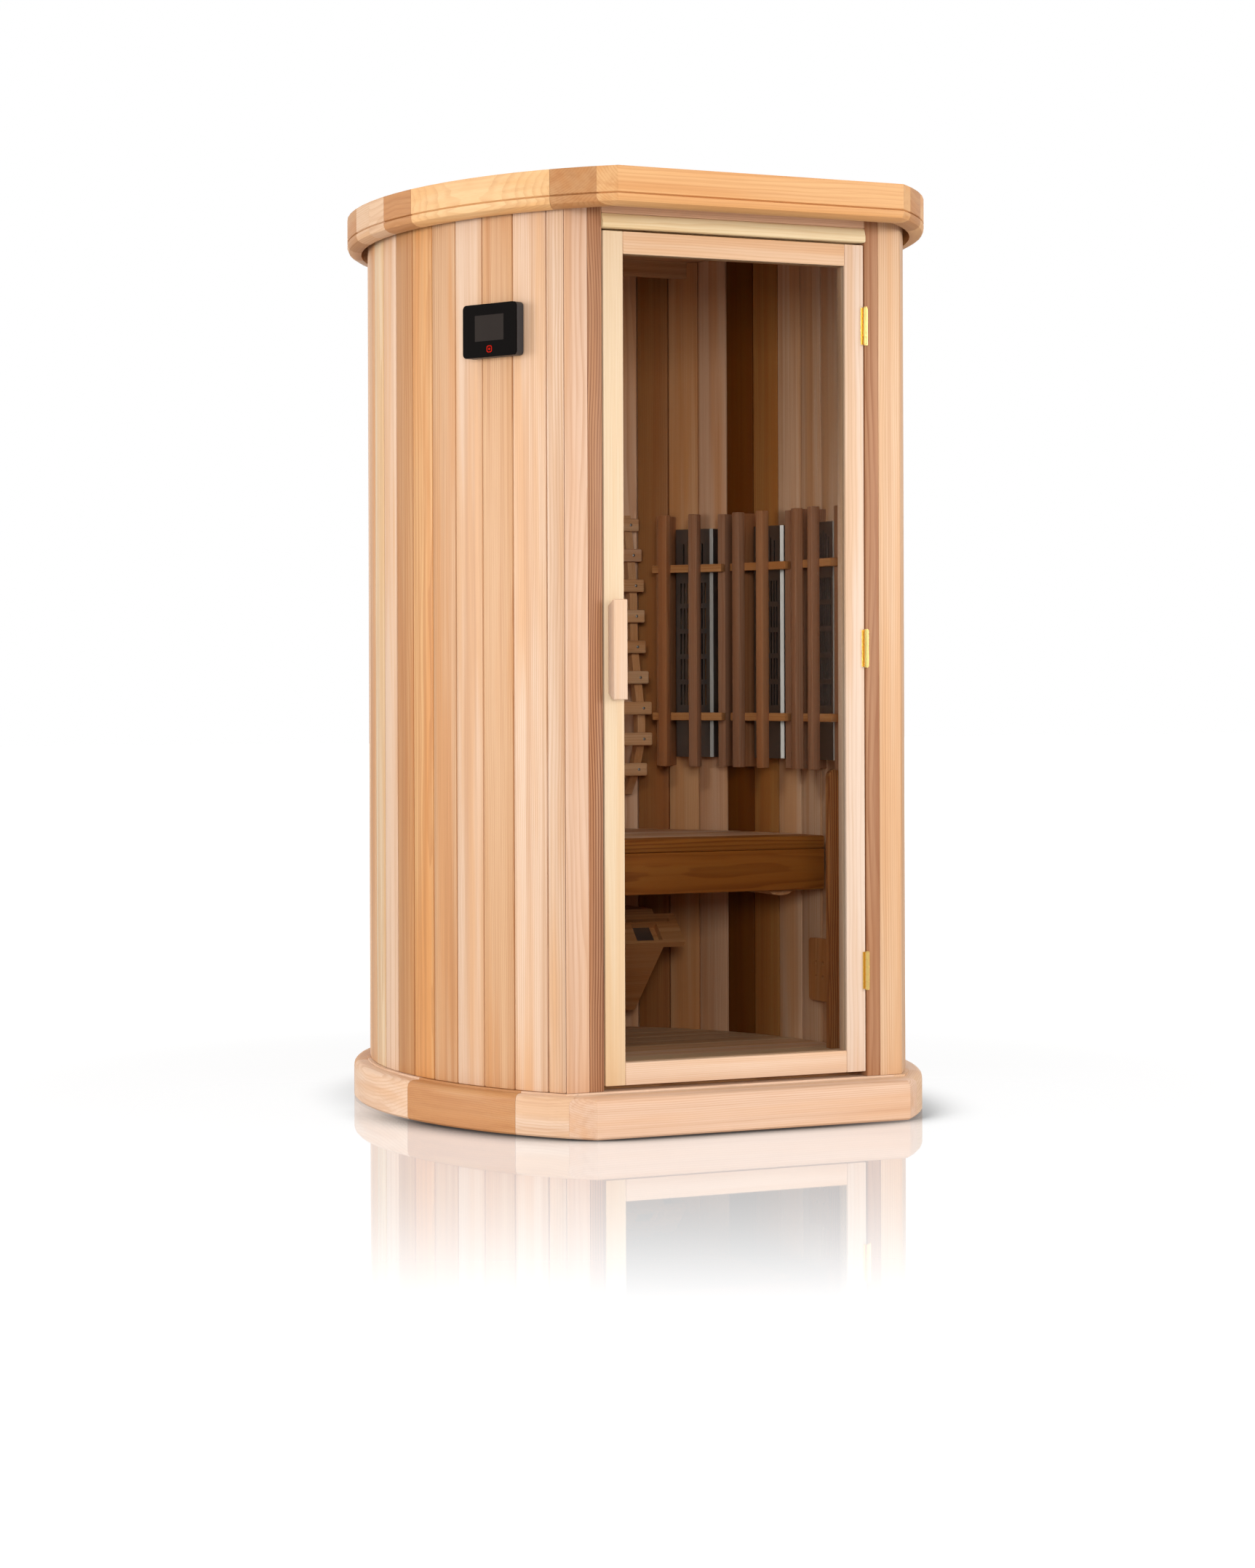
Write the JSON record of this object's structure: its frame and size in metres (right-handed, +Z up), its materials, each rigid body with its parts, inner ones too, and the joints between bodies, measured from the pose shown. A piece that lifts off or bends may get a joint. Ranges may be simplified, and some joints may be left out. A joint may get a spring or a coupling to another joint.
{
  "type": "infrared sauna cabin",
  "caption": "Oval cedar infrared sauna cabin for one: stave walls, base ring and crown, a hinged glazed door, slatted bench, backrest and guarded wall heaters.",
  "frame": {"origin": "on the floor, under the middle of the cabin's bounding box", "axes": "+Z up; the door faces -Y; +X to the right of a person who looks at the door from outside, on the hinge side"},
  "size_m": [1.1744, 1.3896, 1.91],
  "materials": {
    "cedar_wall": "light cedar staves, bare, oiled smooth",
    "cedar_front": "pale peach cedar, bare",
    "cedar_jamb": "brown cedar with dark grain, bare",
    "cedar_door": "cream cedar, bare, sanded",
    "cedar_crown": "golden cedar moulding, bare",
    "cedar_base": "pinkish cedar plinth, bare",
    "cedar_floor": "cedar floor boards, bare",
    "cedar_bench": "warm brown cedar boards, bare",
    "cedar_guard": "brown cedar slats, bare",
    "stainless": "polished stainless sheet",
    "brass": "plated brass",
    "tinted_glass": "bronze tinted clear glass",
    "black_glass": "glossy black touch glass",
    "dark_plastic": "satin dark grey plastic"
  },
  "bodies": {
    "cabin": {"air_inlet_cover": "cedar_guard", "backrest": "cedar_guard", "base_front_board": "cedar_base", "base_ring": "cedar_base", "bench_apron": "cedar_bench", "bench_cleat_left": "cedar_bench", "bench_cleat_right": "cedar_bench", "bench_seat": "cedar_bench", "cable_gland": "dark_plastic", "ceiling_valance": "cedar_bench", "control_glass": "black_glass", "control_housing": "dark_plastic", "crown_front_board": "cedar_crown", "crown_ring": "cedar_crown", "door_jamb_left": "cedar_jamb", "door_jamb_right": "cedar_jamb", "door_sill": "cedar_jamb", "floor_deck": "cedar_floor", "front_filler_left": "cedar_front", "front_filler_right": "cedar_front", "header_board": "cedar_front", "header_trim": "cedar_door", "heater_guard_left_front": "cedar_guard", "heater_guard_left_middle": "cedar_guard", "heater_guard_left_rear": "cedar_guard", "heater_guard_right_front": "cedar_guard", "heater_guard_right_middle": "cedar_guard", "heater_guard_right_rear": "cedar_guard", "heater_housing_left_front": "stainless", "heater_housing_left_middle": "stainless", "heater_housing_left_rear": "stainless", "heater_housing_right_front": "stainless", "heater_housing_right_middle": "stainless", "heater_housing_right_rear": "stainless", "hinge_jamb_leaf_bottom": "brass", "hinge_jamb_leaf_middle": "brass", "hinge_jamb_leaf_top": "brass", "hinge_pin_bottom": "brass", "hinge_pin_middle": "brass", "hinge_pin_top": "brass", "leg_heater_box": "cedar_guard", "leg_heater_panel": "stainless", "roof_panel": "cedar_crown", "side_board": "cedar_jamb", "wall_panel_left_front": "cedar_wall", "wall_panel_left_rear": "cedar_wall", "wall_panel_left_side": "cedar_wall", "wall_panel_right_front": "cedar_wall", "wall_panel_right_rear": "cedar_wall", "wall_panel_right_side": "cedar_wall"},
    "door": {"door_glass": "tinted_glass", "door_handle": "cedar_door", "door_rail_bottom": "cedar_door", "door_rail_top": "cedar_door", "door_stile_handle": "cedar_door", "door_stile_hinge": "cedar_door", "hinge_door_leaf_bottom": "brass", "hinge_door_leaf_middle": "brass", "hinge_door_leaf_top": "brass"}
  },
  "joints": [
    {"name": "door_swing", "type": "hinge", "parent": "cabin", "child": "door", "pos_m": [0.2965, -0.57322, 0.9465], "axis": [0, 0, 1], "range_deg": [0, 160]}
  ]
}
